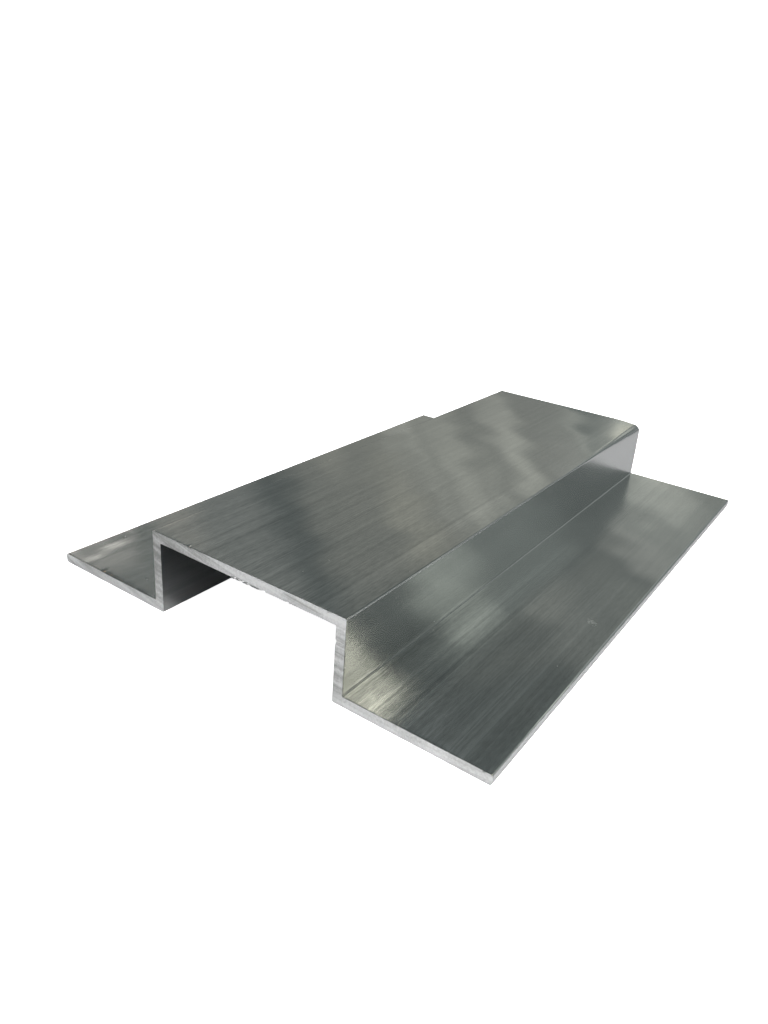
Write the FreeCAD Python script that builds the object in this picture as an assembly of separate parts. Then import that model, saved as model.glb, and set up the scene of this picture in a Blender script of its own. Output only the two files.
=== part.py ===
"""Solar omega rail: a sawn length of extruded aluminium bar with an omega-shaped section.

The flat crown carries the clamps of the solar panels. A web at each side stands it off the roof, and
a flat flange runs out from the foot of each web and is screwed down. The rail is one piece, so it is
one section pushed along its length. Millimetres, +Z up, the length along Y. The origin lies on the
roof surface, below the middle of the crown.
"""
import FreeCAD, Part
import math
import os

# Driving dimensions
rail_length = 205.0
rail_height = 25.0
crown_width = 67.0  # over the outer faces of both webs
flange_reach = 41.5  # from a web's outer face to its flange's free edge
wall = 3.0
corner_radius = 0.6  # on the crown's edges and under the webs' feet
root_radius = 0.4  # inside the channel and where a flange meets its web
edge_radius = 0.8  # on the flanges' free edges

# Sizes that follow from them
half_crown = crown_width / 2
half_channel = half_crown - wall
half_span = half_crown + flange_reach
ceiling = rail_height - wall
free_edge_radius = min(edge_radius, 0.45 * wall)  # keeps a flat between the two roundings


def section_corners():
    """Corners of the section as (x, z, radius), right half first, then its mirror image."""
    right = [
        (half_channel, ceiling, root_radius),
        (half_channel, 0, corner_radius),
        (half_span, 0, free_edge_radius),
        (half_span, wall, free_edge_radius),
        (half_crown, wall, root_radius),
        (half_crown, rail_height, corner_radius),
    ]
    left = [(-x, z, radius) for x, z, radius in reversed(right)]
    return right + left


def rounding(last, corner, following, radius):
    """Arc that eases a corner, tangent to the two sides that meet there."""
    back = (last - corner).normalize()
    ahead = (following - corner).normalize()
    half_angle = back.getAngle(ahead) / 2
    inward = (back + ahead).normalize()
    setback = radius / math.tan(half_angle)
    centre = corner + inward * (radius / math.sin(half_angle))
    return Part.Arc(corner + back * setback, centre - inward * radius, corner + ahead * setback)


def section_outline(y):
    """Closed outline of the section in the plane at this y."""
    corners = section_corners()
    points = [FreeCAD.Vector(x, y, z) for x, z, _ in corners]
    count = len(points)
    arcs = []
    for i, (_, _, radius) in enumerate(corners):
        arcs.append(rounding(points[i - 1], points[i], points[(i + 1) % count], radius))
    edges = []
    for i, arc in enumerate(arcs):
        edges.append(Part.LineSegment(arcs[i - 1].EndPoint, arc.StartPoint).toShape())
        edges.append(arc.toShape())
    return Part.Wire(edges)


def omega_rail():
    """The section pushed from one sawn end to the other."""
    face = Part.Face(section_outline(-rail_length / 2))
    return face.extrude(FreeCAD.Vector(0, rail_length, 0))


os.makedirs("parts", exist_ok=True)
omega_rail().exportStep("parts/omega_rail.step")
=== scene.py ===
"""Solar omega rail, dressed for a studio picture.

The rail is one sawn length of extruded aluminium. Its section is the path of a wall of even
thickness, so a box lattice bent along that path makes the whole piece: the drawn faces, the two
rounded free edges and the two sawn ends. The die left fine lines along the faces, and the saw left
arcs, nicks and burrs on the ends. Sizes are metres in the file's own frame, with the length along Y.
"""
import math
import bmesh
import bpy
from bpy.props import FloatProperty, FloatVectorProperty, IntProperty, PointerProperty
from mathutils import Matrix, Vector


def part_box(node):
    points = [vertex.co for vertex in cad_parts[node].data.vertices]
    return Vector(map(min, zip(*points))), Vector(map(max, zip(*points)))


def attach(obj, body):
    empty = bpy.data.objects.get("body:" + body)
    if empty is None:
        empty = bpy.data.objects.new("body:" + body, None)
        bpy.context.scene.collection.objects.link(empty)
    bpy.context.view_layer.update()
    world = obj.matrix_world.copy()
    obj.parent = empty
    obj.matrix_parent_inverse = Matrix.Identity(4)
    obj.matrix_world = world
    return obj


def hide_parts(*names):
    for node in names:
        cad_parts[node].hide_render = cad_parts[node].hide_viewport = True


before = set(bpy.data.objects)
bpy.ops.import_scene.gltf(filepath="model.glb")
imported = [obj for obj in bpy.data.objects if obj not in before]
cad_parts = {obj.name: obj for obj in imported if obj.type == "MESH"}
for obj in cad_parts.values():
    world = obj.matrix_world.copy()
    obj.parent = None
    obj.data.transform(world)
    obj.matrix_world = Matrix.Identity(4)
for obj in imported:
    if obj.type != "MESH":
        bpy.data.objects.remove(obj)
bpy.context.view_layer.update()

bl_info = {
    "name": "Solar omega rail",
    "version": (1, 0, 0),
    "blender": (4, 5, 0),
    "location": "3D View > Sidebar > Omega rail",
    "description": "Builds a sawn length of mill-finish omega rail and a plain studio round it",
    "category": "Object",
}

MM = 0.001
RAIL_NODE = "omega_rail"
BODY = "root"

RAIL_LOW, RAIL_HIGH = (Vector(corner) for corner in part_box(RAIL_NODE))
RAIL_SIZE = RAIL_HIGH - RAIL_LOW

# The camera stands in front of the rail and to its right, and looks down at it
CAMERA_PLACE = Vector((125.123, -228.969, 124.354)) * MM
CAMERA_HEADING = math.radians(33.446)  # turned left from looking along the rail
CAMERA_TILT = math.radians(24.586)  # down from the horizon
CAMERA_ROLL = math.radians(4.558)
CAMERA_LENS = 28.005  # mm, on a 36 mm sensor

MATH = "ShaderNodeMath"
VECTOR_MATH = "ShaderNodeVectorMath"
MAP_RANGE = "ShaderNodeMapRange"


def linear(hex_colour):
    """Linear red, green and blue of an sRGB hex colour."""
    channels = [int(hex_colour[i:i + 2], 16) / 255 for i in (1, 3, 5)]
    return tuple(c / 12.92 if c <= 0.04045 else ((c + 0.055) / 1.055) ** 2.4 for c in channels)


def add(tree, kind, inputs=None, **settings):
    """Add a node with its settings, and fill its inputs with values, sockets or other nodes."""
    node = tree.nodes.new(kind)
    for name, value in settings.items():
        setattr(node, name, value)
    for key, value in (inputs or {}).items():
        socket = node.inputs[key]
        if isinstance(value, bpy.types.Node):
            value = next(output for output in value.outputs if output.enabled)
        if isinstance(value, bpy.types.NodeSocket):
            tree.links.new(value, socket)
        else:
            socket.default_value = value
    return node


class RailSizes(bpy.types.PropertyGroup):
    """Sizes of the extruded section and of its cut ends."""

    length: FloatProperty(
        name="Length", description="From one sawn end to the other",
        default=RAIL_SIZE.y, min=0.02, unit="LENGTH", precision=4)
    span: FloatProperty(
        name="Span", description="Over the free edges of both flanges",
        default=RAIL_SIZE.x, min=0.02, unit="LENGTH", precision=4)
    height: FloatProperty(
        name="Height", description="From the roof to the crown",
        default=RAIL_SIZE.z, min=0.005, unit="LENGTH", precision=4)
    crown: FloatProperty(
        name="Crown width", description="Over the outer faces of both webs",
        default=67 * MM, min=0.01, unit="LENGTH", precision=4)
    wall: FloatProperty(
        name="Wall", description="Thickness of the crown, the webs and the flanges",
        default=3 * MM, min=0.001, unit="LENGTH", precision=4)
    corner: FloatProperty(
        name="Corner radius", description="On the crown's edges and under the webs' feet",
        default=0.38 * MM, min=0, unit="LENGTH", precision=5)
    root: FloatProperty(
        name="Root radius", description="Inside the channel and where a flange meets its web",
        default=0.26 * MM, min=0, unit="LENGTH", precision=5)
    edge: FloatProperty(
        name="Free edge radius", description="On the flanges' free edges",
        default=0.7 * MM, min=0, unit="LENGTH", precision=5)
    recess: FloatProperty(
        name="Cut recess", description="How far each cut lies inside the length, as room for its burr",
        default=0.25 * MM, min=0, unit="LENGTH", precision=5)
    rim_wear: FloatProperty(
        name="Rim wear", description="How far the rims of the cut ends are worn off at most",
        default=0.05 * MM, min=0, unit="LENGTH", precision=5)
    knock: FloatProperty(
        name="Knocked corner", description="How far one far corner of the crown is knocked down",
        default=0.6 * MM, min=0, unit="LENGTH", precision=5)
    roll: FloatProperty(
        name="Rolled edge", description="Radius of the crown's right edge where it ends at the far cut",
        default=2.7 * MM, min=0, max=2.9 * MM, unit="LENGTH", precision=5)
    rungs: IntProperty(
        name="Rungs", description="Points along the section's path",
        default=901, min=33, max=901)
    seed: IntProperty(
        name="Seed", description="Chooses how rims and burrs are torn",
        default=4, min=0)


class FinishColours(bpy.types.PropertyGroup):
    """Colours of the metal."""

    mill: FloatVectorProperty(
        name="Mill finish", description="Colour that the extruded faces reflect",
        subtype="COLOR", size=3, min=0, max=1, default=linear("#d2d4d2"))
    mill_dark: FloatVectorProperty(
        name="Die line", description="Colour of the darker lines that the die left",
        subtype="COLOR", size=3, min=0, max=1, default=linear("#a2a5a4"))
    sawn: FloatVectorProperty(
        name="Sawn end", description="Colour that the sawn ends reflect",
        subtype="COLOR", size=3, min=0, max=1, default=linear("#f2f3f2"))
    sawn_dark: FloatVectorProperty(
        name="Saw mark", description="Colour in the saw's marks",
        subtype="COLOR", size=3, min=0, max=1, default=linear("#a4a5a2"))


class StudioLight(bpy.types.PropertyGroup):
    """Brightness and colour of the studio."""

    room: FloatProperty(
        name="Room", description="Brightness of the room behind the softboxes",
        default=0.15, min=0)
    room_tint: FloatVectorProperty(
        name="Room tint", description="Colour of the room behind the softboxes",
        subtype="COLOR", size=3, min=0, max=1, default=linear("#f0ffff"))
    floor: FloatVectorProperty(
        name="Floor", description="Colour of the floor and of its raised rim",
        subtype="COLOR", size=3, min=0, max=1, default=linear("#f4f2f4"))
    floor_glow: FloatProperty(
        name="Floor glow", description="Light that the floor gives off itself",
        default=1.0, min=0)
    mirrored: FloatVectorProperty(
        name="Mirrored floor", description="Colour of the floor that the metal mirrors",
        subtype="COLOR", size=3, min=0, max=1, default=linear("#9c9c9e"))


# The lattice that is bent into the rail: points through the wall, along the rail and on each rounding
WALL_LAYERS = 13
STATIONS = 34
ARC_POINTS = 8
TIP_SHARE = 0.53  # how far up the free edge the upper side of the wall ends; the lower one mirrors it
STATION_CROWDING = 3  # higher draws the stations closer to the cuts
ON_CUT_FROM = 0.4999  # lattice points farther out along the rail lie on a cut
CREASE_ANGLE = math.radians(40)  # edges sharper than this aren't smoothed

# Wear on the rims of the cut ends
RIM_TOOTH = 0.9 * MM  # width of the fine unevenness
RIM_PATCH = 11 * MM  # width of its slow changes
WEAR_REACH = 0.1 * MM  # how far in from a cut its rims are worn
BITE_REACH = 1.0 * MM  # how far in from the cut its bites go on
RIM_FOCUS = 7  # higher keeps the wear closer to the rims
THINNING = 0.8  # share of the wear that comes off the thickness of the wall
PATH_LENGTH = 0.2  # m, about the length of the section's path
SEED_STEP = 7.3  # m, how far one seed lies from the next in the noise
BURR_THICKNESS = 0.2 * MM

# Patterns in the drawn faces, with lengths in mm
LINE_WIDTH = 5.0  # of the broadest die lines; finer ones lie inside them
LINE_LENGTH = 3000.0
LINE_HEIGHT = 0.02
LINES_CLEAR = -95  # along the rail, where the lines are clearest
LINES_FAINT = 20  # along the rail, from where on they are faint
CLEAR_STRENGTH = 1.75  # of the lines, where they are clearest
FAINT_STRENGTH = 0.32
CLEAR_GRAIN = 0.36  # share of the finer grain where the lines are clearest
FAINT_GRAIN = 0.1
GRAIN_WIDTH = 0.7
GRAIN_LENGTH = 3
SWELL_LENGTH = 60  # along which the lines come and go
WEB_LINES = 0.3  # share of the lines' strength that the webs have
LEFT_LINES = 0.5  # share of it that the left flange has
LEFT_TO = -40  # across, up to where the left flange's share holds
LEFT_END = -30  # across, from where on the strength is full
NOISE_LOW = 0.3  # a noise mostly keeps between these two
NOISE_HIGH = 0.7
LINE_ROUGHNESS = 0.185  # in the dark lines
MILL_ROUGHNESS = 0.14  # beside them
SCUFF_ROUGHNESS = 0.5
WAVE_WIDTH = 14
WAVE_LENGTH = 22
WAVE_HEIGHT = 0.22
SPECK_SPACING = 6.0
SPECK_RIM = 0.038  # in spacings from a speck's middle, where it starts
SPECK_CORE = 0.022  # and where it is full
SPECKS_FROM = -30  # along the rail, where specks start
SPECKS_FULL = -70

# Patterns in the sawn ends, with lengths in mm
SAW_CENTRE = Vector((48, 330))  # of the blade, across and up, seen in the plane of a cut
SAW_BAND = 2.2
SAW_STROKE = 0.8
SAW_PATCH = 11
SAW_GRAIN = 0.7
SAW_HEIGHT = 0.05
PAINTED_SHADE_CORNER = (-33, -102.5, 25)  # painted shade: the sawn ends are painted darker round this corner, for the light that falls off towards the left of the cut
PAINTED_SHADE_FULL_WITHIN = 6.0  # of that corner
PAINTED_SHADE_WITHIN = 26.0
TORN_GRAIN = 0.3  # in the burrs

# Places where the left flange slopes off towards its free edge: across and along, how far it goes on
# both ways, and how far it drops (mm)
SLOPES = (
    (-68.6, -88.6, 2.6, 10.0, 0.18),
    (-66.6, -98.4, 2.6, 8.0, 0.13),
)
SCUFF_AT = (67.5, -27.5, 3.0)  # mm
SCUFF_REACH = 4.0  # mm
SCUFF_GRAIN = 0.9  # mm
KNOCK_AT = Vector((33.5, 102.5, 25))  # mm, the knocked corner
KNOCK_REACH = Vector((13, 45, 18))  # mm, how far from that corner the metal still gives way
KNOCK_WAY = (-0.45, 0, -1.0)  # which way it gives, down and a little towards the middle
KNOCK_FOCUS = 1.3  # higher keeps it closer to the corner
ROLL_FROM = 25 * MM  # along the rail, where the crown's right edge starts to roll over

# Bites out of the front cut's rims: across and up (mm), radius (mm) and depth (mm)
RIM_BITES = (
    (-19.6, 25.0, 0.5, 0.30),
    (-2.4, 22.0, 0.6, 0.45),
    (-0.9, 22.0, 0.4, 0.40),
    (0.5, 22.0, 0.5, 0.45),
    (2.1, 22.0, 0.5, 0.40),
    (7.6, 22.0, 0.6, 0.40),
    (-1.6, 24.0, 0.35, 0.35),
    (15.4, 22.0, 0.5, 0.30),
    (30.5, 17.5, 0.8, 0.35),
    (49.3, 3.0, 0.4, 0.15),
)

# Shallow dents that the saw pressed into the drawn faces beside the front cut, in the same terms, and
# how far they reach along the rail (mm)
LONG_DENTS = (
    (-57.6, 3.0, 1.4, 0.17),
)
LONG_DENT_REACH = 1.7
RIM_DENTS = (
    (-55.0, 3.0, 4.0, 0.16),
    (-51.0, 3.0, 5.0, 0.15),
    (-46.0, 3.0, 6.0, 0.13),
    (-40.0, 3.0, 6.0, 0.11),
    (12.0, 25.0, 6.0, 0.04),
    (60.0, 3.0, 9.0, 0.05),
)
RIM_DENT_REACH = 0.9

# Burrs that hang or stand on the front cut's rims: from and to (mm across), height of the root (mm),
# reach (mm, downwards where negative) and width of a tooth (mm)
BURRS = (
    (-3.6, -0.4, 22.12, -0.42, 0.30),
    (0.4, 2.6, 22.12, -0.34, 0.26),
    (3.0, 6.2, 22.12, -0.26, 0.34),
    (-20.0, -18.4, 24.60, 0.40, 0.50),
    (27.8, 28.4, 24.66, 0.33, 0.35),
    (45.9, 46.4, 2.70, 0.29, 0.35),
    (72.3, 73.1, 2.70, 0.29, 0.45),
)


def path_corners(tree, size, upper):
    """Corners of one side of the wall, from the middle of the crown to the free edge."""
    half_span = add(tree, MATH, {0: size["Span"], 1: 0.5}, operation="MULTIPLY")
    half_crown = add(tree, MATH, {0: size["Crown"], 1: 0.5}, operation="MULTIPLY")
    if upper:
        foot, top, flange, share = half_crown, size["Height"], size["Wall"], TIP_SHARE
        radii = (size["Corner"], size["Root"], size["Edge"])
    else:
        foot = add(tree, MATH, {0: half_crown, 1: size["Wall"]}, operation="SUBTRACT")
        top = add(tree, MATH, {0: size["Height"], 1: size["Wall"]}, operation="SUBTRACT")
        flange, share = 0.0, 1 - TIP_SHARE
        radii = (size["Root"], size["Corner"], size["Edge"])
    tip = add(tree, MATH, {0: size["Wall"], 1: share}, operation="MULTIPLY")
    places = [(0.0, top), (foot, top), (foot, flange), (half_span, flange), (half_span, tip)]
    return places, (0.0, *radii, 0.0)


def wall_side(tree, size, upper, share_of_path):
    """Points on one side of the wall, at a share of the way from the crown's middle to the free edge."""
    places, radii = path_corners(tree, size, upper)
    index = add(tree, "GeometryNodeInputIndex")
    where = add(tree, "GeometryNodeIndexSwitch", {0: index}, data_type="VECTOR")
    round_by = add(tree, "GeometryNodeIndexSwitch", {0: index}, data_type="FLOAT")
    for _ in places[2:]:  # a switch starts with two items
        where.index_switch_items.new()
        round_by.index_switch_items.new()
    for i, ((across, up), radius) in enumerate(zip(places, radii)):
        point = add(tree, "ShaderNodeCombineXYZ", {"X": across, "Z": up})
        tree.links.new(point.outputs[0], where.inputs[i + 1])
        if isinstance(radius, bpy.types.NodeSocket):
            tree.links.new(radius, round_by.inputs[i + 1])
    line = add(tree, "GeometryNodeMeshLine", {"Count": len(places)})
    bent = add(tree, "GeometryNodeSetPosition", {"Geometry": line, "Position": where})
    path = add(tree, "GeometryNodeMeshToCurve", {"Mesh": bent})
    eased = add(tree, "GeometryNodeFilletCurve", {"Curve": path, "Radius": round_by}, mode="POLY")
    eased.inputs["Count"].default_value = ARC_POINTS
    sampled = add(tree, "GeometryNodeSampleCurve", {"Curves": eased, "Factor": share_of_path},
                  mode="FACTOR")
    return sampled.outputs["Position"]


def hollows(tree, on_plane, spots):
    """Depth of the deepest of these round hollows, each given by place, radius and depth in mm."""
    deepest = 0.0
    for across, up, radius, depth in spots:
        off = add(tree, VECTOR_MATH, {0: on_plane, 1: (across * MM, up * MM, 0)},
                  operation="DISTANCE")
        dip = add(tree, MAP_RANGE,
                  {"Value": off.outputs["Value"], "From Min": radius * MM, "From Max": 0.0,
                   "To Max": depth * MM}, interpolation_type="SMOOTHSTEP")
        deepest = add(tree, MATH, {0: deepest, 1: dip}, operation="MAXIMUM")
    return deepest


def with_rolled_edge(tree, size, straight, lengthwise, reach):
    """Place of a point once the crown's right edge has rolled over towards the far cut.

    The edge's square corner is drawn in to a round one.
    """
    roll = add(tree, MAP_RANGE,
               {"Value": lengthwise, "From Min": ROLL_FROM, "From Max": reach, "To Max": size["Roll"]},
               interpolation_type="SMOOTHSTEP")
    half_crown = add(tree, MATH, {0: size["Crown"], 1: 0.5}, operation="MULTIPLY")
    centre = add(tree, "ShaderNodeCombineXYZ",
                 {"X": add(tree, MATH, {0: half_crown, 1: roll}, operation="SUBTRACT"), "Y": lengthwise,
                  "Z": add(tree, MATH, {0: size["Height"], 1: roll}, operation="SUBTRACT")})
    from_centre = add(tree, VECTOR_MATH, {0: straight, 1: centre}, operation="SUBTRACT")
    outside = add(tree, VECTOR_MATH, {0: from_centre, 1: (0, 0, 0)}, operation="MAXIMUM")
    inside = add(tree, VECTOR_MATH, {0: from_centre, 1: (0, 0, 0)}, operation="MINIMUM")
    out = add(tree, "ShaderNodeSeparateXYZ", {0: outside}).outputs
    farthest = add(tree, MATH, {0: out["X"], 1: out["Z"]}, operation="MAXIMUM")
    rounded = add(tree, VECTOR_MATH,
                  {0: add(tree, VECTOR_MATH, {0: outside}, operation="NORMALIZE"),
                   "Scale": farthest}, operation="SCALE")
    return add(tree, VECTOR_MATH,
               {0: add(tree, VECTOR_MATH, {0: centre, 1: inside}, operation="ADD"),
                1: rounded}, operation="ADD")


def with_knocked_corner(tree, size, rolled, axes):
    """Place of a point once the far right corner of the crown is knocked down, and the web's top too."""
    give = 1.0
    for value, corner, reach_mm in zip(axes, KNOCK_AT, KNOCK_REACH):
        near = add(tree, MAP_RANGE,
                   {"Value": value, "From Min": (corner - reach_mm) * MM, "From Max": corner * MM},
                   interpolation_type="SMOOTHSTEP")
        give = add(tree, MATH, {0: give, 1: near}, operation="MULTIPLY")
    sharper = add(tree, MATH, {0: give, 1: KNOCK_FOCUS}, operation="POWER")
    knocked = add(tree, VECTOR_MATH, {0: KNOCK_WAY, "Scale": size["Knock"]}, operation="SCALE")
    moved = add(tree, VECTOR_MATH, {0: knocked, "Scale": sharper}, operation="SCALE")
    return add(tree, VECTOR_MATH, {0: rolled, 1: moved}, operation="ADD")


def rail_tree():
    """Geometry nodes for the rail: a box lattice bent along the section, with its cut ends worn."""
    tree = bpy.data.node_groups.new("Omega section along the rail", "GeometryNodeTree")
    tree.interface.new_socket("Geometry", in_out="OUTPUT", socket_type="NodeSocketGeometry")
    for name in ("Length", "Span", "Height", "Crown", "Wall", "Corner", "Root", "Edge", "Recess",
                 "Rim wear", "Knock", "Roll"):
        tree.interface.new_socket(name, in_out="INPUT", socket_type="NodeSocketFloat").subtype = "DISTANCE"
    for name in ("Rungs", "Seed"):
        tree.interface.new_socket(name, in_out="INPUT", socket_type="NodeSocketInt")
    for name in ("Drawn faces", "Sawn ends"):
        tree.interface.new_socket(name, in_out="INPUT", socket_type="NodeSocketMaterial")
    size = add(tree, "NodeGroupInput").outputs

    # The lattice: X runs along the section's path, Y along the rail and Z through the wall
    lattice = add(tree, "GeometryNodeMeshCube",
                  {"Size": (1, 1, 1), "Vertices X": size["Rungs"], "Vertices Y": STATIONS,
                   "Vertices Z": WALL_LAYERS})
    place = add(tree, "ShaderNodeSeparateXYZ", {0: add(tree, "GeometryNodeInputPosition")}).outputs
    side = add(tree, MATH, {0: place["X"]}, operation="SIGN")
    half_way = add(tree, MATH, {0: place["X"]}, operation="ABSOLUTE")
    share = add(tree, MATH, {0: half_way, 1: 2}, operation="MULTIPLY")
    end = add(tree, MATH, {0: place["Y"]}, operation="SIGN")
    half_long = add(tree, MATH, {0: place["Y"]}, operation="ABSOLUTE")
    depth = add(tree, MATH, {0: place["Z"], 1: 0.5}, operation="ADD")

    # Stations crowd towards the cuts, where the wear is
    inward = add(tree, MATH, {0: 1.0, 1: add(tree, MATH, {0: half_long, 1: 2}, operation="MULTIPLY")},
                 operation="SUBTRACT")
    crowd = add(tree, MATH, {0: inward, 1: STATION_CROWDING}, operation="POWER")
    half_length = add(tree, MATH, {0: size["Length"], 1: 0.5}, operation="MULTIPLY")
    reach = add(tree, MATH, {0: half_length, 1: size["Recess"]}, operation="SUBTRACT")
    from_cut = add(tree, MATH, {0: crowd, 1: reach}, operation="MULTIPLY")

    upper = wall_side(tree, size, True, share)
    lower = wall_side(tree, size, False, share)

    unworn = add(tree, "ShaderNodeMix", {"Factor": depth, 4: lower, 5: upper}, data_type="VECTOR")
    unworn_place = add(tree, "ShaderNodeSeparateXYZ", {0: unworn.outputs[1]}).outputs
    unworn_across = add(tree, MATH, {0: unworn_place["X"], 1: side}, operation="MULTIPLY")
    on_plane = add(tree, "ShaderNodeCombineXYZ", {"X": unworn_across, "Y": unworn_place["Z"]})
    at_cut = add(tree, MAP_RANGE,
                 {"Value": from_cut, "From Min": WEAR_REACH, "From Max": 0.0})
    near_cut = add(tree, MAP_RANGE,
                   {"Value": from_cut, "From Min": BITE_REACH, "From Max": 0.0})

    # A noise that runs round the rims and differs from cut to cut
    seed = add(tree, MATH, {0: size["Seed"], 1: SEED_STEP}, operation="MULTIPLY")
    along = add(tree, MATH, {0: place["X"], 1: PATH_LENGTH}, operation="MULTIPLY")
    spot = add(tree, "ShaderNodeCombineXYZ", {"X": along, "Y": end, "Z": seed})
    tooth = add(tree, "ShaderNodeTexNoise", {"Vector": spot, "Scale": 1 / RIM_TOOTH, "Detail": 3.0})
    patch = add(tree, "ShaderNodeTexNoise", {"Vector": spot, "Scale": 1 / RIM_PATCH, "Detail": 1.0})
    torn = add(tree, MATH, {0: tooth.outputs[0], 1: patch.outputs[0]}, operation="MULTIPLY")
    wear = add(tree, MAP_RANGE,
               {"Value": torn, "From Min": 0.12, "From Max": 0.5, "To Min": 0.15})
    worn = add(tree, MATH, {0: add(tree, MATH, {0: wear, 1: at_cut}, operation="MULTIPLY"),
                            1: size["Rim wear"]}, operation="MULTIPLY")

    # Each bite is deepest at its own place and only in the front cut
    in_front = add(tree, "FunctionNodeCompare", {0: place["Y"], 1: 0.0}, operation="LESS_THAN")
    bitten = hollows(tree, on_plane, RIM_BITES)
    toothed = add(tree, MAP_RANGE,
                  {"Value": tooth.outputs[0], "From Min": 0.35, "From Max": 0.6, "To Min": 0.6,
                   "To Max": 1.3})
    bite = add(tree, MATH, {0: add(tree, MATH, {0: bitten, 1: toothed}, operation="MULTIPLY"),
                            1: add(tree, MATH, {0: in_front, 1: near_cut}, operation="MULTIPLY")},
               operation="MULTIPLY")
    lost = add(tree, MATH, {0: worn, 1: bite}, operation="ADD")
    pressed = 0.0
    for dents, reach_mm in ((LONG_DENTS, LONG_DENT_REACH), (RIM_DENTS, RIM_DENT_REACH)):
        by_cut = add(tree, MAP_RANGE,
                     {"Value": from_cut, "From Min": reach_mm * MM, "From Max": 0.0})
        here = add(tree, MATH, {0: add(tree, MATH, {0: in_front, 1: by_cut}, operation="MULTIPLY"),
                                1: hollows(tree, on_plane, dents)}, operation="MULTIPLY")
        pressed = add(tree, MATH, {0: pressed, 1: here}, operation="MAXIMUM")

    # What is lost comes off both ways, in from the cut and down from the faces. Dents only go down
    off_middle = add(tree, MATH, {0: add(tree, MATH, {0: place["Z"]}, operation="ABSOLUTE"), 1: 2},
                     operation="MULTIPLY")
    at_rim = add(tree, MATH, {0: off_middle, 1: RIM_FOCUS}, operation="POWER")
    sunk = add(tree, MATH, {0: lost, 1: at_rim}, operation="MULTIPLY")
    down = add(tree, MATH, {0: add(tree, MATH, {0: lost, 1: pressed}, operation="ADD"), 1: at_rim},
               operation="MULTIPLY")
    thinner = add(tree, MATH, {0: down, 1: size["Wall"]}, operation="DIVIDE")
    drawn_in = add(tree, MATH, {0: thinner, 1: add(tree, MATH, {0: place["Z"]}, operation="SIGN")},
                   operation="MULTIPLY")
    layer = add(tree, MATH, {0: drawn_in, 1: -THINNING, 2: depth}, operation="MULTIPLY_ADD")
    flat = add(tree, "ShaderNodeMix", {"Factor": layer, 4: lower, 5: upper}, data_type="VECTOR")
    flat_place = add(tree, "ShaderNodeSeparateXYZ", {0: flat.outputs[1]}).outputs
    across = add(tree, MATH, {0: flat_place["X"], 1: side}, operation="MULTIPLY")
    from_middle = add(tree, MATH, {0: add(tree, MATH, {0: reach, 1: from_cut}, operation="SUBTRACT"),
                                   1: sunk}, operation="SUBTRACT")
    lengthwise = add(tree, MATH, {0: from_middle, 1: end}, operation="MULTIPLY")
    straight = add(tree, "ShaderNodeCombineXYZ", {"X": across, "Y": lengthwise, "Z": flat_place["Z"]})
    rolled = with_rolled_edge(tree, size, straight, lengthwise, reach)
    point = with_knocked_corner(tree, size, rolled, (across, lengthwise, flat_place["Z"]))
    on_cut = add(tree, "FunctionNodeCompare", {0: half_long, 1: ON_CUT_FROM}, operation="GREATER_THAN")

    kept = add(tree, "GeometryNodeCaptureAttribute", {"Geometry": lattice})
    kept.capture_items.new("FLOAT", "cut")
    tree.links.new(on_cut.outputs[0], kept.inputs[1])
    shaped = add(tree, "GeometryNodeSetPosition", {"Geometry": kept.outputs[0], "Position": point})
    cut_face = add(tree, "FunctionNodeCompare", {0: kept.outputs[1], 1: 0.999}, operation="GREATER_THAN")
    angle = add(tree, "GeometryNodeInputMeshEdgeAngle")
    crease = add(tree, "FunctionNodeCompare", {0: angle.outputs[0], 1: CREASE_ANGLE},
                 operation="GREATER_THAN")
    smooth = add(tree, "GeometryNodeSetShadeSmooth", {"Geometry": shaped, "Shade Smooth": True})
    creased = add(tree, "GeometryNodeSetShadeSmooth",
                  {"Geometry": smooth, "Selection": crease, "Shade Smooth": False}, domain="EDGE")
    whole = add(tree, "GeometryNodeRealizeInstances", {"Geometry": creased})
    drawn = add(tree, "GeometryNodeSetMaterial", {"Geometry": whole, "Material": size["Drawn faces"]})
    sawn = add(tree, "GeometryNodeSetMaterial",
               {"Geometry": drawn, "Selection": cut_face, "Material": size["Sawn ends"]})
    add(tree, "NodeGroupOutput", {"Geometry": sawn})
    return tree


def grown(name, tree, values):
    """Plain mesh object at the origin, made by a geometry nodes tree with these inputs."""
    seedling = bpy.data.objects.new(name + ".nodes", bpy.data.meshes.new(name + ".nodes"))
    bpy.context.collection.objects.link(seedling)
    modifier = seedling.modifiers.new("Shape", "NODES")
    modifier.node_group = tree
    sockets = {item.name: item.identifier for item in tree.interface.items_tree if item.in_out == "INPUT"}
    for key, value in values.items():
        modifier[sockets[key]] = value
    graph = bpy.context.evaluated_depsgraph_get()
    mesh = bpy.data.meshes.new_from_object(seedling.evaluated_get(graph), depsgraph=graph)
    mesh.name = name
    bpy.data.objects.remove(seedling)
    piece = bpy.data.objects.new(name, mesh)
    bpy.context.collection.objects.link(piece)
    return piece


def rail_millimetres(tree):
    """The rail's own coordinates in millimetres, for patterns with real sizes."""
    here = add(tree, "ShaderNodeTexCoord")
    return add(tree, VECTOR_MATH, {0: here.outputs["Object"], "Scale": 1 / MM},
               operation="SCALE")


def stretched(tree, here, wide, long):
    """Coordinates in which a pattern's cells are this wide and high, and this long, in millimetres."""
    return add(tree, VECTOR_MATH, {0: here, 1: (1 / wide, 1 / long, 1 / wide)},
               operation="MULTIPLY")


def new_material(name):
    """Empty node material and its tree."""
    material = bpy.data.materials.new(name)
    material.use_nodes = True
    material.node_tree.nodes.clear()
    return material, material.node_tree


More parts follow.
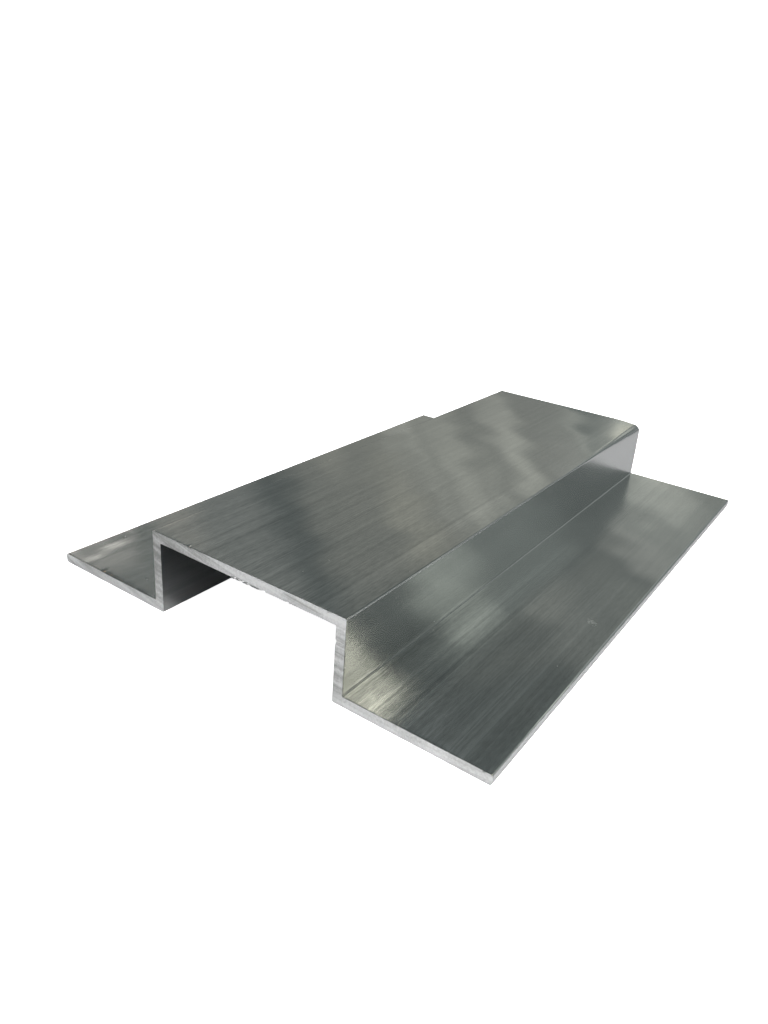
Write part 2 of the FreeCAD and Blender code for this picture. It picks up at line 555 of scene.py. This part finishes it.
def mill_finish(colours):
    """Extruded aluminium, mill finish: a half mirror, smeared across the fine lines that the die drew.

    The lines run straight from cut to cut, from bands some millimetres broad down to scratches of a
    few tenths. They are clearest towards the front cut, and fainter on the webs and the left flange.
    Small knocks from handling show as pale specks.
    """
    material, tree = new_material("Extruded aluminium, mill finish")
    here = rail_millimetres(tree)
    axes = add(tree, "ShaderNodeSeparateXYZ", {0: here}).outputs
    facing = add(tree, "ShaderNodeNewGeometry").outputs["Normal"]
    drawn = stretched(tree, here, LINE_WIDTH, LINE_LENGTH)
    noise = add(tree, "ShaderNodeTexNoise",
                {"Vector": drawn, "Scale": 1.0, "Detail": 5.0, "Roughness": 0.9})
    off = add(tree, MATH, {0: noise.outputs[0], 1: 0.5}, operation="SUBTRACT")
    depth = add(tree, MAP_RANGE,
                {"Value": axes["Y"], "From Min": LINES_CLEAR, "From Max": LINES_FAINT,
                 "To Min": CLEAR_STRENGTH, "To Max": FAINT_STRENGTH}, interpolation_type="SMOOTHSTEP")
    up = add(tree, MATH, {0: add(tree, "ShaderNodeSeparateXYZ", {0: facing}).outputs["Z"]},
             operation="ABSOLUTE")
    on_flats = add(tree, MAP_RANGE, {"Value": up, "To Min": WEB_LINES})
    slow = stretched(tree, here, LINE_WIDTH, SWELL_LENGTH)
    swell = add(tree, "ShaderNodeTexNoise", {"Vector": slow, "Scale": 1.0, "Detail": 1.0})
    fade = add(tree, MAP_RANGE,
               {"Value": swell, "From Min": NOISE_LOW, "From Max": NOISE_HIGH, "To Min": 0.5,
                "To Max": 1.5})
    on_right = add(tree, MAP_RANGE,
                   {"Value": axes["X"], "From Min": LEFT_TO, "From Max": LEFT_END, "To Min": LEFT_LINES})
    where = add(tree, MATH, {0: on_flats, 1: on_right}, operation="MULTIPLY")
    strong = add(tree, MATH, {0: add(tree, MATH, {0: depth, 1: where}, operation="MULTIPLY"),
                              1: fade}, operation="MULTIPLY")
    lines = add(tree, MATH, {0: off, 1: strong, 2: 0.5}, operation="MULTIPLY_ADD")
    short = stretched(tree, here, GRAIN_WIDTH, GRAIN_LENGTH)
    grain = add(tree, "ShaderNodeTexNoise", {"Vector": short, "Scale": 1.0, "Detail": 2.0})
    grainy = add(tree, MAP_RANGE,
                 {"Value": axes["Y"], "From Min": LINES_CLEAR, "From Max": LINES_FAINT,
                  "To Min": CLEAR_GRAIN, "To Max": FAINT_GRAIN})
    grain_share = add(tree, MATH, {0: grainy, 1: on_flats}, operation="MULTIPLY")
    both = add(tree, "ShaderNodeMix",
               {"Factor": grain_share, "A": lines.outputs[0], "B": grain.outputs[0]})
    tone = add(tree, MAP_RANGE,
               {"Value": both, "From Min": NOISE_LOW, "From Max": NOISE_HIGH})
    colour = add(tree, "ShaderNodeMix", {"Factor": tone, 6: (*colours.mill_dark, 1), 7: (*colours.mill, 1)},
                 data_type="RGBA")
    rough = add(tree, MAP_RANGE,
                {"Value": both, "From Min": NOISE_LOW, "From Max": NOISE_HIGH,
                 "To Min": LINE_ROUGHNESS, "To Max": MILL_ROUGHNESS})

    # Pale specks, some 0.3 mm across, towards the front cut, and a patch of scuffs on the right flange
    cells = add(tree, "ShaderNodeTexVoronoi", {"Vector": here, "Scale": 1 / SPECK_SPACING})
    spot = add(tree, MAP_RANGE,
               {"Value": cells.outputs["Distance"], "From Min": SPECK_RIM, "From Max": SPECK_CORE})
    to_front = add(tree, MAP_RANGE,
                   {"Value": axes["Y"], "From Min": SPECKS_FROM, "From Max": SPECKS_FULL})
    speck = add(tree, MATH, {0: spot, 1: to_front}, operation="MULTIPLY")
    scuffed = add(tree, VECTOR_MATH, {0: here, 1: SCUFF_AT}, operation="DISTANCE")
    scuff_patch = add(tree, MAP_RANGE,
                      {"Value": scuffed.outputs["Value"], "From Min": SCUFF_REACH, "From Max": 1.0})
    scuff_marks = add(tree, "ShaderNodeTexNoise", {"Vector": here, "Scale": 1 / SCUFF_GRAIN, "Detail": 2.0})
    scuffs = add(tree, MATH, {0: scuff_marks.outputs[0], 1: scuff_patch}, operation="MULTIPLY")
    scuff = add(tree, MAP_RANGE, {"Value": scuffs, "From Min": 0.45, "From Max": 0.6})
    pale = add(tree, MATH, {0: speck, 1: scuff}, operation="MAXIMUM")
    knocked = add(tree, "ShaderNodeMix", {"Factor": pale, 6: colour.outputs[2], 7: (*colours.sawn, 1)},
                  data_type="RGBA")
    rougher = add(tree, "ShaderNodeMix", {"Factor": pale, "A": rough, "B": SCUFF_ROUGHNESS})

    # Faint waves bend what the crown and the flanges mirror, and so do two slopes near the left free
    # edge. Heights are in mm from here on
    wavy = stretched(tree, here, WAVE_WIDTH, WAVE_LENGTH)
    waves = add(tree, "ShaderNodeTexNoise", {"Vector": wavy, "Scale": 1.0, "Detail": 0.0})
    wave_height = add(tree, MATH, {0: add(tree, MATH, {0: up, 1: 2}, operation="POWER"), 1: WAVE_HEIGHT},
                      operation="MULTIPLY")
    height = add(tree, MATH, {0: waves.outputs[0], 1: wave_height,
                              2: add(tree, MATH, {0: lines, 1: LINE_HEIGHT}, operation="MULTIPLY")},
                 operation="MULTIPLY_ADD")
    for across_at, along_at, wide, long, drop in SLOPES:
        fallen = add(tree, MAP_RANGE,
                     {"Value": axes["X"], "From Min": across_at + wide, "From Max": across_at - wide,
                      "To Max": -drop}, interpolation_type="SMOOTHSTEP")
        away = add(tree, MATH, {0: axes["Y"], 1: along_at}, operation="SUBTRACT")
        near = add(tree, MAP_RANGE,
                   {"Value": add(tree, MATH, {0: away}, operation="ABSOLUTE"), "From Min": long,
                    "From Max": 0.0}, interpolation_type="SMOOTHSTEP")
        height = add(tree, MATH, {0: fallen, 1: near, 2: height}, operation="MULTIPLY_ADD")
    relief = add(tree, "ShaderNodeBump", {"Height": height, "Strength": 1.0, "Distance": MM})
    across = add(tree, VECTOR_MATH, {0: facing, 1: (0, 1, 0)}, operation="CROSS_PRODUCT")
    shader = add(tree, "ShaderNodeBsdfPrincipled",
                 {"Base Color": knocked.outputs[2], "Metallic": 1.0, "Roughness": rougher,
                  "Anisotropic": 0.95, "Tangent": across, "Normal": relief})
    add(tree, "ShaderNodeOutputMaterial", {"Surface": shader})
    return material


def sawn_finish(colours):
    """Sawn aluminium: a bright, torn, matt face. The arcs of the blade cross it in light and dark bands,
    with a few dark strokes where a tooth dug in, and some patches are duller than others.
    """
    material, tree = new_material("Aluminium, sawn")
    here = rail_millimetres(tree)
    from_saw = add(tree, VECTOR_MATH, {0: here, 1: (SAW_CENTRE.x, 0, SAW_CENTRE.y)},
                   operation="SUBTRACT")
    flat = add(tree, VECTOR_MATH, {0: from_saw, 1: (1, 0, 1)}, operation="MULTIPLY")
    radial = add(tree, VECTOR_MATH, {0: flat}, operation="LENGTH").outputs["Value"]
    bands = add(tree, "ShaderNodeTexNoise",
                {"W": radial, "Scale": 1 / SAW_BAND, "Detail": 4.0, "Roughness": 0.6},
                noise_dimensions="1D")
    dug = add(tree, "ShaderNodeTexNoise", {"W": radial, "Scale": 1 / SAW_STROKE, "Detail": 1.0},
              noise_dimensions="1D")
    patches = add(tree, "ShaderNodeTexNoise", {"Vector": here, "Scale": 1 / SAW_PATCH, "Detail": 1.0})
    grain = add(tree, "ShaderNodeTexNoise",
                {"Vector": here, "Scale": 1 / SAW_GRAIN, "Detail": 3.0, "Roughness": 0.65})
    streaky = add(tree, "ShaderNodeMix", {"Factor": 0.4, "A": bands.outputs[0], "B": grain.outputs[0]})

    # The crown and the flanges are a little brighter than the webs, and their strokes are fainter
    up = add(tree, "ShaderNodeSeparateXYZ", {0: here}).outputs["Z"]
    above_middle = add(tree, MATH, {0: up, 1: RAIL_SIZE.z / MM / 2}, operation="SUBTRACT")
    off_middle = add(tree, MATH, {0: above_middle}, operation="ABSOLUTE")
    brighter = add(tree, MAP_RANGE,
                   {"Value": off_middle, "From Min": 11.0, "From Max": 8.0, "To Min": 0.06, "To Max": 0.0})
    patchy = add(tree, "ShaderNodeMix", {"Factor": 0.25, "A": streaky, "B": patches.outputs[0]})
    mixed = add(tree, MATH, {0: patchy, 1: brighter}, operation="ADD")
    # Painted shade: the sawn colour is darkened round the left web's top corner, for the light that falls
    # off towards the left of the cut
    to_corner = add(tree, VECTOR_MATH, {0: here, 1: PAINTED_SHADE_CORNER}, operation="DISTANCE")
    painted_shade = add(tree, MAP_RANGE,
               {"Value": to_corner.outputs["Value"], "From Min": PAINTED_SHADE_FULL_WITHIN,
                "From Max": PAINTED_SHADE_WITHIN, "To Min": 0.12, "To Max": 0.0})
    lit = add(tree, MATH, {0: mixed, 1: painted_shade}, operation="SUBTRACT")
    tone = add(tree, MAP_RANGE, {"Value": lit, "From Min": 0.32, "From Max": 0.62})
    stroke_depth = add(tree, MAP_RANGE,
                       {"Value": dug.outputs[0], "From Min": 0.36, "From Max": 0.28})
    stroke_patch = add(tree, MAP_RANGE,
                       {"Value": patches.outputs[0], "From Min": 0.56, "From Max": 0.42})
    mostly_on_webs = add(tree, MAP_RANGE,
                         {"Value": off_middle, "From Min": 10.5, "From Max": 9.0, "To Min": 0.5})
    strokes = add(tree, MATH, {0: stroke_depth, 1: stroke_patch}, operation="MULTIPLY")
    stroke = add(tree, MATH, {0: strokes, 1: mostly_on_webs}, operation="MULTIPLY")
    bright = add(tree, MATH, {0: tone, 1: add(tree, MATH, {0: 1.0, 1: stroke}, operation="SUBTRACT")},
                 operation="MULTIPLY")
    colour = add(tree, "ShaderNodeMix",
                 {"Factor": bright, 6: (*colours.sawn_dark, 1), 7: (*colours.sawn, 1)}, data_type="RGBA")
    relief = add(tree, "ShaderNodeBump", {"Height": bright, "Strength": 1.0, "Distance": SAW_HEIGHT * MM})
    shader = add(tree, "ShaderNodeBsdfPrincipled",
                 {"Base Color": colour.outputs[2], "Metallic": 1.0, "Roughness": 0.5, "Normal": relief})
    add(tree, "ShaderNodeOutputMaterial", {"Surface": shader})
    return material


def torn_finish(colours):
    """Aluminium torn by the saw: rough and bright, like the cut that it hangs from."""
    material, tree = new_material("Aluminium, torn by the saw")
    here = rail_millimetres(tree)
    grain = add(tree, "ShaderNodeTexNoise", {"Vector": here, "Scale": 1 / TORN_GRAIN, "Detail": 2.0})
    colour = add(tree, "ShaderNodeMix",
                 {"Factor": grain.outputs[0], 6: (*colours.sawn_dark, 1), 7: (*colours.sawn, 1)},
                 data_type="RGBA")
    shader = add(tree, "ShaderNodeBsdfPrincipled",
                 {"Base Color": colour.outputs[2], "Metallic": 1.0, "Roughness": 0.45})
    add(tree, "ShaderNodeOutputMaterial", {"Surface": shader})
    return material


def burr_tree():
    """Geometry nodes for one burr: a thin fin along a rim, torn into teeth of uneven reach."""
    tree = bpy.data.node_groups.new("Torn fin on a rim", "GeometryNodeTree")
    tree.interface.new_socket("Geometry", in_out="OUTPUT", socket_type="NodeSocketGeometry")
    for name in ("From", "To", "Root", "Front", "Thickness", "Tooth"):
        tree.interface.new_socket(name, in_out="INPUT", socket_type="NodeSocketFloat").subtype = "DISTANCE"
    tree.interface.new_socket("Reach", in_out="INPUT", socket_type="NodeSocketFloat")
    tree.interface.new_socket("Seed", in_out="INPUT", socket_type="NodeSocketInt")
    tree.interface.new_socket("Torn metal", in_out="INPUT", socket_type="NodeSocketMaterial")
    size = add(tree, "NodeGroupInput").outputs

    long = add(tree, MATH, {0: size["To"], 1: size["From"]}, operation="SUBTRACT")
    teeth = add(tree, MATH, {0: long, 1: size["Tooth"]}, operation="DIVIDE")
    count = add(tree, MATH, {0: teeth, 1: 5, 2: 5}, operation="MULTIPLY_ADD")
    lattice = add(tree, "GeometryNodeMeshCube",
                  {"Size": (1, 1, 1), "Vertices X": count, "Vertices Y": 2, "Vertices Z": 4})
    place = add(tree, "ShaderNodeSeparateXYZ", {0: add(tree, "GeometryNodeInputPosition")}).outputs
    share = add(tree, MATH, {0: place["X"], 1: 0.5}, operation="ADD")
    out = add(tree, MATH, {0: place["Z"], 1: 0.5}, operation="ADD")
    across = add(tree, MATH, {0: share, 1: long, 2: size["From"]}, operation="MULTIPLY_ADD")
    spot = add(tree, "ShaderNodeCombineXYZ", {"X": across, "Y": size["Seed"]})
    noise = add(tree, "ShaderNodeTexNoise",
                {"Vector": spot, "Scale": add(tree, MATH, {0: 1.0, 1: size["Tooth"]}, operation="DIVIDE"),
                 "Detail": 2.0, "Roughness": 0.7})
    tall = add(tree, MAP_RANGE,
               {"Value": noise.outputs[0], "From Min": 0.3, "From Max": 0.65, "To Min": 0.1})
    from_end = add(tree, MATH, {0: 0.5, 1: add(tree, MATH, {0: place["X"]}, operation="ABSOLUTE")},
                   operation="SUBTRACT")
    dies_out = add(tree, MAP_RANGE, {"Value": from_end, "From Max": 0.12, "To Min": 0.15})
    height = add(tree, MATH, {0: add(tree, MATH, {0: tall, 1: dies_out}, operation="MULTIPLY"),
                              1: size["Reach"]}, operation="MULTIPLY")
    up = add(tree, MATH, {0: height, 1: out, 2: size["Root"]}, operation="MULTIPLY_ADD")
    thin = add(tree, MAP_RANGE, {"Value": out, "To Min": 1.0, "To Max": 0.35})
    half = add(tree, MATH, {0: add(tree, MATH, {0: place["Y"], 1: thin}, operation="MULTIPLY"),
                            1: size["Thickness"]}, operation="MULTIPLY")
    curl = add(tree, MATH, {0: add(tree, MATH, {0: noise.outputs[0], 1: out}, operation="MULTIPLY"),
                            1: add(tree, MATH, {0: size["Reach"], 1: -0.3}, operation="MULTIPLY")},
               operation="MULTIPLY")
    leaning_out = add(tree, MATH, {0: curl, 1: 0.0}, operation="MINIMUM")
    lengthwise = add(tree, MATH, {0: add(tree, MATH, {0: half, 1: leaning_out}, operation="ADD"),
                                  1: size["Front"]}, operation="ADD")
    point = add(tree, "ShaderNodeCombineXYZ", {"X": across, "Y": lengthwise, "Z": up})
    torn = add(tree, "GeometryNodeSetPosition", {"Geometry": lattice, "Position": point})
    whole = add(tree, "GeometryNodeRealizeInstances", {"Geometry": torn})
    covered = add(tree, "GeometryNodeSetMaterial", {"Geometry": whole, "Material": size["Torn metal"]})
    add(tree, "NodeGroupOutput", {"Geometry": covered})
    return tree


class OMEGA_OT_rail(bpy.types.Operator):
    """Build the extruded rail with its sawn ends"""

    bl_idname = "omega.rail"
    bl_label = "Extruded rail"

    def execute(self, context):
        sizes = context.scene.omega_sizes
        colours = context.scene.omega_colours
        rail = grown("extruded_rail", rail_tree(), {
            "Length": sizes.length, "Span": sizes.span, "Height": sizes.height, "Crown": sizes.crown,
            "Wall": sizes.wall, "Corner": sizes.corner, "Root": sizes.root, "Edge": sizes.edge,
            "Recess": sizes.recess, "Rim wear": sizes.rim_wear, "Knock": sizes.knock, "Roll": sizes.roll,
            "Rungs": sizes.rungs, "Seed": sizes.seed,
            "Drawn faces": mill_finish(colours), "Sawn ends": sawn_finish(colours)})
        if not rail.data.polygons:
            raise RuntimeError("the rail's nodes made no faces")
        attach(rail, BODY)
        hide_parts(RAIL_NODE)
        return {"FINISHED"}


class OMEGA_OT_burrs(bpy.types.Operator):
    """Tear the burrs of the saw on the rims of the front cut"""

    bl_idname = "omega.burrs"
    bl_label = "Saw burrs"

    def execute(self, context):
        sizes = context.scene.omega_sizes
        tree = burr_tree()
        metal = torn_finish(context.scene.omega_colours)
        joined = bmesh.new()
        for number, (start, stop, root, reach, tooth) in enumerate(BURRS):
            fin = grown("burr", tree, {
                "From": start * MM, "To": stop * MM, "Root": root * MM, "Reach": reach * MM,
                "Tooth": tooth * MM, "Thickness": BURR_THICKNESS, "Seed": sizes.seed + number,
                "Front": sizes.recess - sizes.length / 2 - BURR_THICKNESS / 2, "Torn metal": metal})
            joined.from_mesh(fin.data)
            bpy.data.objects.remove(fin)
        mesh = bpy.data.meshes.new("saw_burrs")
        bmesh.ops.recalc_face_normals(joined, faces=joined.faces)
        joined.to_mesh(mesh)
        joined.free()
        mesh.materials.append(metal)
        if not mesh.polygons:
            raise RuntimeError("the burrs' nodes made no faces")
        burrs = bpy.data.objects.new("saw_burrs", mesh)
        context.collection.objects.link(burrs)
        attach(burrs, BODY)
        return {"FINISHED"}


# Softboxes that the metal mirrors: name, lean across and along the rail (degrees from straight up), width
# across and along (degrees), share of that width that fades out, brightness and colour. Each one shows as
# a band across the faces, at the places along the rail where the lean along fits
SOFTBOXES = (
    ("left_wall", -56, 51, 36, 17, 0.3, 0.15, "#fff8e8"),
    ("left_high_wall", -56, 61.2, 26, 7.4, 0.4, 0.15, "#fff8ea"),
    ("left_low_wall", -56, 36.8, 36, 12, 0.45, 0.15, "#fbf8f0"),
    ("left_edge_lamp", -70, 29.8, 12, 5.4, 0.4, 2.4, "#fff8f0"),
    ("left_slope_lamp", -70, 25.0, 12, 2.6, 0.4, 4.2, "#ffd8b0"),
    ("left_edge_glow", -70, 35.2, 12, 3.6, 0.6, 1.0, "#fff0dc"),
    ("left_edge_gleam", -70, 47.4, 12, 2.6, 0.8, 0.5, "#fff8e0"),
    ("left_edge_pane", -70, 52.6, 12, 2.8, 0.5, 0.55, "#fbfbf0"),
    ("bar_top", -46, 64.2, 8, 1.0, 0.5, 0.40, "#fffff0"),
    ("bar_high", -46, 59.7, 14, 2.4, 0.7, 0.42, "#fffff0"),
    ("bar_short", -43, 57.3, 6, 1.0, 0.5, 0.45, "#fffff0"),
    ("bar_middle", -47, 55.5, 20, 3.0, 0.7, 0.25, "#fffff0"),
    ("bar_thin", -51, 53.5, 22, 0.9, 0.5, 0.22, "#fffff0"),
    ("bar_low", -47, 50.6, 10, 5, 0.8, 0.24, "#fff8dc"),
    ("back_window", -45, 68.8, 9, 3.0, 0.4, 0.85, "#fffbe8"),
    ("back_wall", -28, 65.6, 18, 7.4, 0.2, 0.13, "#f8faf0"),
    ("back_sill", -27, 62.6, 15, 2.2, 0.2, 0.22, "#fbf8ee"),
    ("back_pane", -32, 66.2, 8, 4.6, 0.6, 0.5, "#fbfbee"),
    ("back_high", -25, 73.0, 12, 7, 0.5, 0.9, "#fbfbee"),
    ("back_bar", -19, 59.3, 9, 2.4, 0.7, 0.25, "#fbfbee"),
    ("back_shelf", -27, 56.2, 22, 6, 0.6, 0.10, "#fbfbf0"),
    ("back_low", -30, 42, 22, 5, 0.8, 0.06, "#f0f4f8"),
    ("top_pane", 4, 60, 18, 20, 0.5, 0.35, "#fbfbf6"),
    ("top_back", 9, 72.0, 18, 7, 0.5, 0.6, "#fbfbf2"),
    ("right_wall", 40, 56, 34, 30, 0.2, 0.15, "#f0f6f4"),
    ("right_haze", 39, 55.5, 28, 12, 0.7, 0.26, "#f0f6f0"),
    ("right_panel", 42, 49.8, 22, 5.2, 0.35, 0.74, "#f8fbf0"),
    ("right_lamp", 34, 38.3, 12, 7.6, 0.15, 2.2, "#fff8e4"),
    ("right_lamp_heart", 35, 40.2, 5, 4.6, 0.5, 4.0, "#fffaec"),
    ("right_far_wall", 70, 70, 14, 10, 0.5, 0.22, "#f4f6f6"),
    ("right_low_wall", 70, 44, 28, 20, 0.5, 0.3, "#f4f6f0"),
    # Only views from above mirror these two, and only views from behind the four after them
    ("zenith_pane", 0, 9.5, 60, 8.0, 0.8, 0.40, "#fbfbf6"),
    ("zenith_bar", -6, 1.5, 30, 3.0, 0.8, 0.30, "#fbfbf6"),
    ("behind_left_wall", -58, -47.0, 46, 8.0, 0.5, 0.34, "#f8fbf4"),
    ("behind_left_sill", -62, -37.5, 34, 3.4, 0.6, 0.30, "#fbfbf0"),
    ("behind_right_wall", 58, -47.0, 46, 8.0, 0.5, 0.34, "#f8fbf4"),
    ("behind_right_sill", 62, -37.5, 34, 3.4, 0.6, 0.30, "#fbfbf0"),
)
SOFTBOX_DISTANCE = 6.0  # m

# Lamps that light the mirrored floor beside the cuts and aren't mirrored themselves: name, place (m),
# width (m) and brightness
FLOOR_LAMPS = (
    ("front_floor_lamp", (0.17, -0.16, 0.32), 0.12, 72.0),
    ("back_floor_lamp", (0.13, 0.24, 0.16), 0.12, 6.0),
)

# Lights over the whole stage: place, width, depth (m) and brightness. The wash is set six times round
# the stage, tilted at the rim
CEILING = ((0, -0.6, 2.0), 4.0, 3.6, 2.0)
RIM_WASH = ((0, 1.2, 1.1), 1.3, 0.5, 2.0)
RIM_WASH_TILT = 75
STAGE_FADE = 0.3
WHITE = "#ffffff"
LAMP_WHITE = "#fffdfa"

# The floor rises to a low rim. The metal mirrors a greyer floor than this one, and no rim. Above the rim
# stands a backdrop that only the camera sees (m)
FLOOR_RINGS = (0.3, 1.0, 2.0)
FLOOR_DROP = 0.1 * MM  # keeps it from flickering against the mirrored one
RIM_BEND = 0.5
RIM_TOP = 0.66
BACKDROP_TOP = 2.0
TURNED_SIDES = 96


def softbox(name, place, facing, width, height, fade, brightness, colour):
    """Area light that fades out towards its edges and faces along its own -Z."""
    lamp = bpy.data.lights.new(name, "AREA")
    lamp.shape = "RECTANGLE"
    lamp.size, lamp.size_y = width, height
    lamp.color = linear(colour)
    lamp.energy = brightness * math.pi * width * height
    lamp.use_nodes = True
    tree = lamp.node_tree
    tree.nodes.clear()
    on_lamp = add(tree, "ShaderNodeSeparateXYZ",
                  {0: add(tree, "ShaderNodeNewGeometry").outputs["Parametric"]}).outputs
    strength = 1.0
    for axis in ("X", "Y"):
        off = add(tree, MATH, {0: on_lamp[axis], 1: 0.5}, operation="SUBTRACT")
        near = add(tree, MATH, {0: off}, operation="ABSOLUTE")
        edge = add(tree, MAP_RANGE,
                   {"Value": near, "From Min": 0.5, "From Max": 0.5 * (1 - fade)},
                   interpolation_type="SMOOTHSTEP")
        strength = add(tree, MATH, {0: strength, 1: edge}, operation="MULTIPLY")
    glow = add(tree, "ShaderNodeEmission", {"Strength": strength})
    add(tree, "ShaderNodeOutputLight", {"Surface": glow})
    holder = bpy.data.objects.new(name, lamp)
    holder.matrix_world = Matrix.Translation(place) @ facing.to_4x4()
    holder.visible_camera = False
    bpy.context.collection.objects.link(holder)
    return holder


def leaning(across, along):
    """Direction from the rail that leans these angles from straight up, and a turn that faces it."""
    out = Vector((math.sin(across) * math.cos(along), math.sin(along), math.cos(across) * math.cos(along)))
    sideways = Vector((0, 1, 0)).cross(out).normalized()
    return out, Matrix((sideways, out.cross(sideways), out)).transposed()


def turned(name, rings, material, closed=False):
    """Stage piece turned about Z through these (radius, height) rings, facing up or the middle.

    A closed one has no hole inside its first ring.
    """
    sides = range(TURNED_SIDES)
    turns = [2 * math.pi * i / TURNED_SIDES for i in sides]
    points, faces = [], []
    for r, z in rings:
        points += [(r * math.cos(turn), r * math.sin(turn), z) for turn in turns]
    for k in range(len(rings) - 1):
        first, second = k * TURNED_SIDES, (k + 1) * TURNED_SIDES
        faces += [(first + i, second + i, second + (i + 1) % TURNED_SIDES, first + (i + 1) % TURNED_SIDES)
                  for i in sides]
    if closed:
        faces.append(tuple(sides))
    mesh = bpy.data.meshes.new(name)
    mesh.from_pydata(points, [], faces)
    mesh.shade_smooth()
    mesh.materials.append(material)
    piece = bpy.data.objects.new(name, mesh)
    bpy.context.collection.objects.link(piece)
    return piece


def white_paper(name, colour, glow):
    """Matt paper: no gleam, so it stays plain. A glow from below lightens the shadows on it."""
    material, tree = new_material(name)
    shader = add(tree, "ShaderNodeBsdfPrincipled",
                 {"Base Color": (*colour, 1), "Roughness": 0.9, "Specular IOR Level": 0.2,
                  "Emission Color": (1, 1, 1, 1), "Emission Strength": glow})
    add(tree, "ShaderNodeOutputMaterial", {"Surface": shader})
    return material


def build_floor(studio):
    """The floor with its rim, the greyer floor that the metal mirrors, and the backdrop."""
    paper = white_paper("Paper, matt white, lit from below", studio.floor, studio.floor_glow)
    grey = white_paper("Paper, matt grey", studio.mirrored, 0.0)
    flat = [(radius, 0.0) for radius in FLOOR_RINGS]
    floor = turned("studio_floor", flat, paper, closed=True)
    floor.location.z = -FLOOR_DROP
    floor.visible_glossy = False
    mirrored = turned("studio_floor_mirrored", flat, grey, closed=True)
    mirrored.visible_camera = False
    mirrored.visible_diffuse = False
    mirrored.visible_shadow = False
    edge = FLOOR_RINGS[-1]
    bend = [(edge + RIM_BEND * math.sin(a), RIM_BEND * (1 - math.cos(a)))
            for a in (math.radians(step) for step in range(0, 91, 10))]
    rim = turned("studio_rim", bend + [(edge + RIM_BEND, RIM_TOP)], paper)
    rim.visible_glossy = False
    wall = [(edge + RIM_BEND, height) for height in (RIM_TOP, BACKDROP_TOP)]
    backdrop = turned("studio_backdrop", wall, paper)
    backdrop.visible_glossy = False
    backdrop.visible_diffuse = False
    backdrop.visible_shadow = False


def build_room(studio):
    """The dim, even room behind the softboxes."""
    world = bpy.data.worlds.new("Studio room")
    world.use_nodes = True
    world.node_tree.nodes.clear()
    room = add(world.node_tree, "ShaderNodeBackground",
               {"Color": (*studio.room_tint, 1), "Strength": studio.room})
    add(world.node_tree, "ShaderNodeOutputWorld", {"Surface": room})
    return world


def hang_lights():
    """The softboxes that the metal mirrors, and the lamps that only light the floor and its rim."""
    for name, across, along, wide, deep, fade, brightness, colour in SOFTBOXES:
        out, facing = leaning(math.radians(across), math.radians(along))
        softbox(name, out * SOFTBOX_DISTANCE, facing,
                2 * SOFTBOX_DISTANCE * math.tan(math.radians(wide / 2)),
                2 * SOFTBOX_DISTANCE * math.tan(math.radians(deep / 2)), fade, brightness, colour)

    # Mirrored from above, the ceiling would bleach the metal
    place, wide, deep, brightness = CEILING
    down = Matrix.Identity(3)
    ceiling = softbox("ceiling", Vector(place), down, wide, deep, STAGE_FADE, brightness, WHITE)
    ceiling.visible_glossy = False
    for name, place, wide, brightness in FLOOR_LAMPS:
        lamp = softbox(name, Vector(place), down, wide, wide, STAGE_FADE, brightness, LAMP_WHITE)
        lamp.visible_glossy = False
    place, wide, deep, brightness = RIM_WASH
    tilt = Matrix.Rotation(math.radians(RIM_WASH_TILT), 3, "X")
    for turn in range(0, 360, 60):
        away = Matrix.Rotation(math.radians(turn), 3, "Z")
        softbox("rim_wash", away @ Vector(place), away @ tilt, wide, deep, STAGE_FADE, brightness, WHITE)


def place_camera(context):
    """The camera at the photo's viewing angle."""
    camera = bpy.data.objects.new("camera", bpy.data.cameras.new("camera"))
    camera.data.sensor_width = 36
    camera.data.lens = CAMERA_LENS
    camera.data.clip_start = 0.01
    camera.data.clip_end = 50
    camera.matrix_world = (Matrix.Translation(CAMERA_PLACE)
                           @ Matrix.Rotation(CAMERA_HEADING, 4, "Z")
                           @ Matrix.Rotation(math.radians(90) - CAMERA_TILT, 4, "X")
                           @ Matrix.Rotation(CAMERA_ROLL, 4, "Z"))
    context.collection.objects.link(camera)
    context.scene.camera = camera


class OMEGA_OT_stage(bpy.types.Operator):
    """Set the floor, the softboxes and the camera"""

    bl_idname = "omega.stage"
    bl_label = "Floor, light and camera"

    def execute(self, context):
        scene = context.scene
        studio = scene.omega_studio
        build_floor(studio)
        scene.world = build_room(studio)
        hang_lights()
        place_camera(context)
        scene.view_settings.view_transform = "Standard"
        return {"FINISHED"}


class OMEGA_PT_rail(bpy.types.Panel):
    """Sizes, colours and steps of the omega rail"""

    bl_label = "Omega rail"
    bl_idname = "OMEGA_PT_rail"
    bl_space_type = "VIEW_3D"
    bl_region_type = "UI"
    bl_category = "Omega rail"

    def draw(self, context):
        for group in (context.scene.omega_sizes, context.scene.omega_colours, context.scene.omega_studio):
            box = self.layout.box()
            for name in group.__annotations__:
                box.prop(group, name)
        for step in STEPS:
            self.layout.operator(step.bl_idname)


STEPS = (OMEGA_OT_rail, OMEGA_OT_burrs, OMEGA_OT_stage)
GROUPS = {"omega_sizes": RailSizes, "omega_colours": FinishColours, "omega_studio": StudioLight}


def register():
    """Register the groups, the operators and the panel."""
    for name, group in GROUPS.items():
        bpy.utils.register_class(group)
        setattr(bpy.types.Scene, name, PointerProperty(type=group))
    for step in STEPS:
        bpy.utils.register_class(step)
    bpy.utils.register_class(OMEGA_PT_rail)


def unregister():
    """Undo what register did."""
    bpy.utils.unregister_class(OMEGA_PT_rail)
    for step in reversed(STEPS):
        bpy.utils.unregister_class(step)
    for name, group in GROUPS.items():
        delattr(bpy.types.Scene, name)
        bpy.utils.unregister_class(group)


def main():
    """Build the rail and its studio."""
    register()
    bpy.ops.omega.rail()
    bpy.ops.omega.burrs()
    bpy.ops.omega.stage()


if __name__ == "__main__":
    main()
